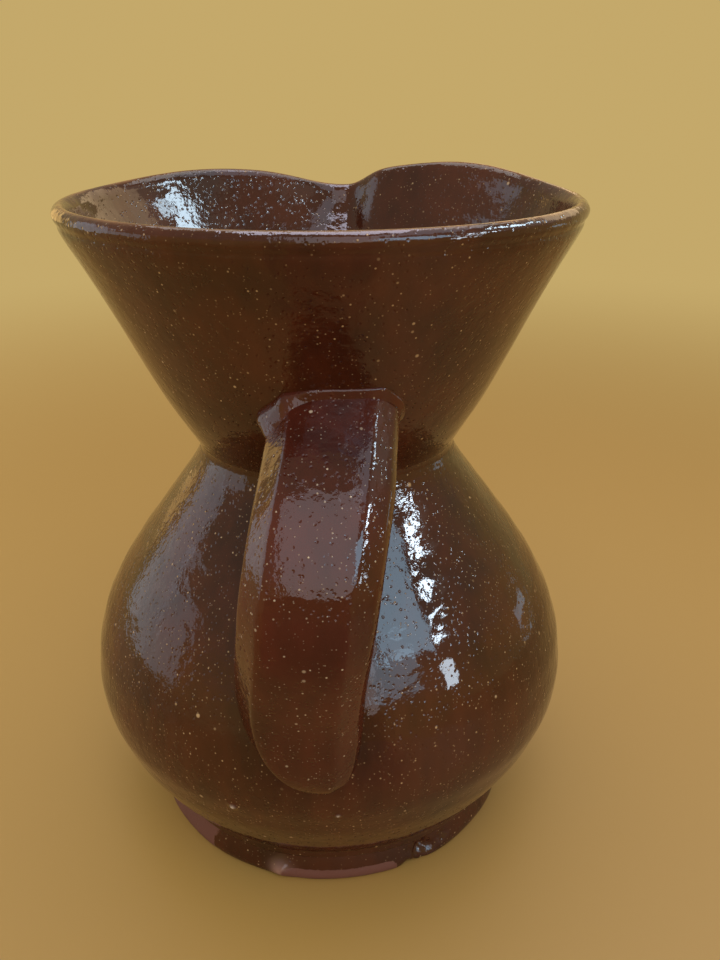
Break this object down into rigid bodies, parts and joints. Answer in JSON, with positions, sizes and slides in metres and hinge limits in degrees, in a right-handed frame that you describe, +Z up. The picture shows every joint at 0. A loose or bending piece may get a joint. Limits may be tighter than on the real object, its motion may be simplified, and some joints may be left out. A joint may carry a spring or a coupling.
{
  "type": "wine jug",
  "caption": "Glazed earthenware wine jug with a round belly, creased neck, wide funnel mouth, pinched pouring lip and a broad strap handle, standing on a flat foot.",
  "frame": {"origin": "centre of the foot's flat underside, on the surface that the jug stands on", "axes": "+Z up along the jug's axis, +Y towards the pouring lip, -Y towards the strap handle, +X to the right when the handle is seen from behind the jug"},
  "size_m": [0.1406, 0.1587, 0.1834],
  "materials": {
    "body_glaze": "glossy dark brown glaze with fine pale specks",
    "handle_glaze": "glossy dark reddish brown glaze with fine pale specks",
    "foot_clay": "fired clay, partly covered by run glaze and bare along its bottom edge"
  },
  "bodies": {
    "root": {"foot": "foot_clay", "belly": "body_glaze", "mouth_funnel": "body_glaze", "neck_lute": "body_glaze", "foot_lute": "body_glaze", "strap_handle": "handle_glaze", "upper_handle_lute": "handle_glaze", "lower_handle_lute": "handle_glaze"}
  },
  "joints": []
}
